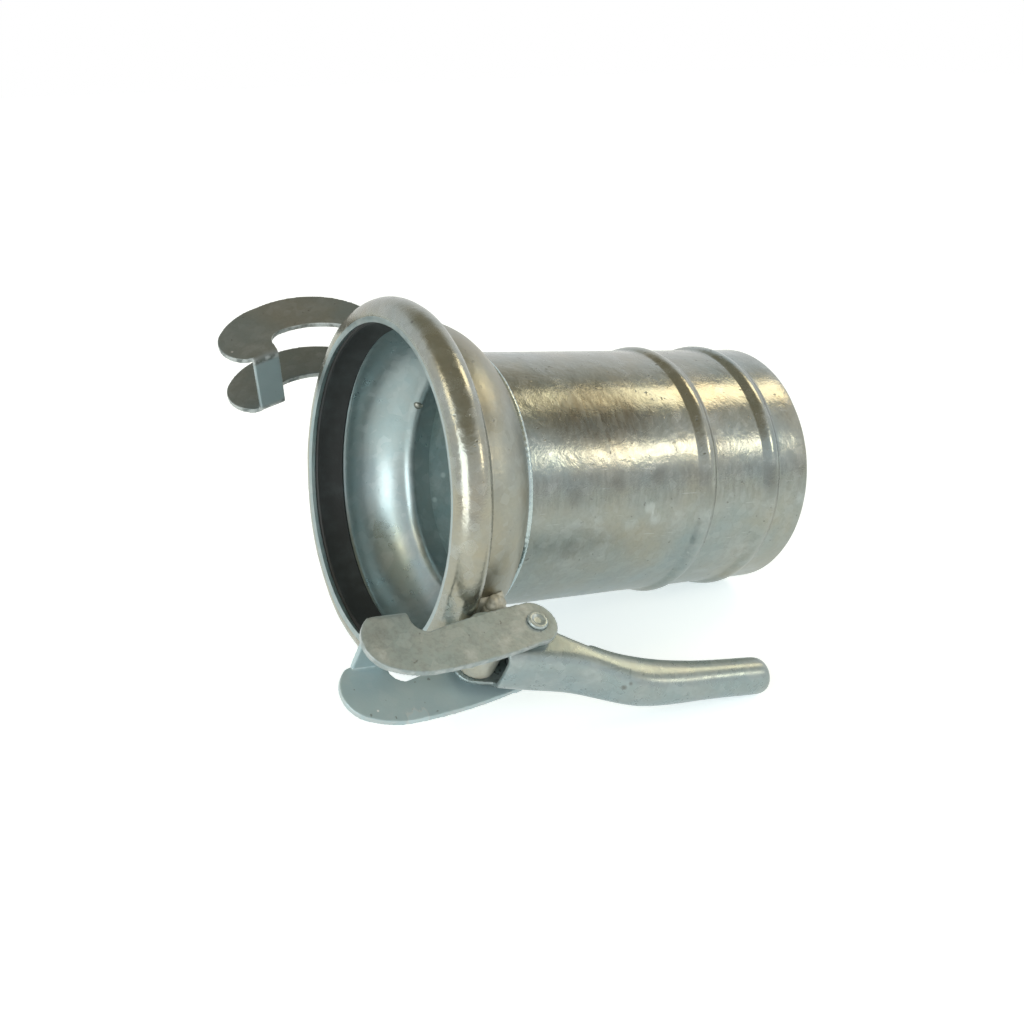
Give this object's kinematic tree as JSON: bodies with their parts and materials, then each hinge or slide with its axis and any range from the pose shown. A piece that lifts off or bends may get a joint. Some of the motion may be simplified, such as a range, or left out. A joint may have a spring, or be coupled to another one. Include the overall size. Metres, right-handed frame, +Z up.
{
  "type": "quick pipe coupling",
  "caption": "Lever-locked quick coupling half for pipes: a pressed cup with a rolled rim and rubber seal, a beaded hose tail, a lever with its hook, and a side hook.",
  "frame": {"origin": "centre of the bounding box, on the floor that the coupling lies on", "axes": "+Z up as the coupling lies; +X is the level direction from the tail to the mouth; the pipe's axis rises 7.3 degrees towards +X; +Y is towards the lever"},
  "size_m": [0.3344, 0.2986, 0.2144],
  "materials": {
    "cup_zinc": "hot-dip galvanised, mottled grey",
    "tail_zinc": "hot-dip galvanised, mottled grey, with a warm cast on top",
    "weld_zinc": "rippled weld bead under zinc",
    "seal_rubber": "matt black rubber",
    "lug_zinc": "hot-dip galvanised, mottled grey",
    "lever_zinc": "hot-dip galvanised, mottled grey, pressed sheet",
    "hook_zinc": "hot-dip galvanised, mottled grey, folded plate",
    "pin_zinc": "galvanised rivet, bright on its rim"
  },
  "bodies": {
    "coupling": {"socket_cup": "cup_zinc", "hose_tail": "tail_zinc", "neck_weld": "weld_zinc", "seal_ring": "seal_rubber", "lever_lug": "lug_zinc", "lever_lug_weld": "weld_zinc", "lever_pin": "pin_zinc", "side_lug": "lug_zinc", "side_lug_weld": "weld_zinc"},
    "lever": {"lever": "lever_zinc", "hook_pin": "pin_zinc", "hook_washer_upper": "pin_zinc", "hook_washer_lower": "pin_zinc"},
    "closing_hook": {"closing_hook": "hook_zinc"},
    "side_hook": {"side_hook": "hook_zinc", "side_pin": "pin_zinc"}
  },
  "joints": [
    {"name": "lever_pivot", "type": "hinge", "parent": "coupling", "child": "lever", "pos_m": [0.09009, 0.10035, 0.0508], "axis": [0.1127, -0.467, -0.877], "range_deg": [0, 135]},
    {"name": "hook_pivot", "type": "hinge", "parent": "lever", "child": "closing_hook", "pos_m": [0.06737, 0.10318, 0.04637], "axis": [0.1127, -0.467, -0.877], "range_deg": [-135, 0]},
    {"name": "side_hook_pivot", "type": "hinge", "parent": "coupling", "child": "side_hook", "pos_m": [0.05699, -0.09516, 0.16398], "axis": [-0.1978, -0.3942, -0.8975], "range_deg": [-10, 100]}
  ],
  "couplings": [
    {"joint": "hook_pivot", "follows": "lever_pivot", "ratio": -1}
  ]
}
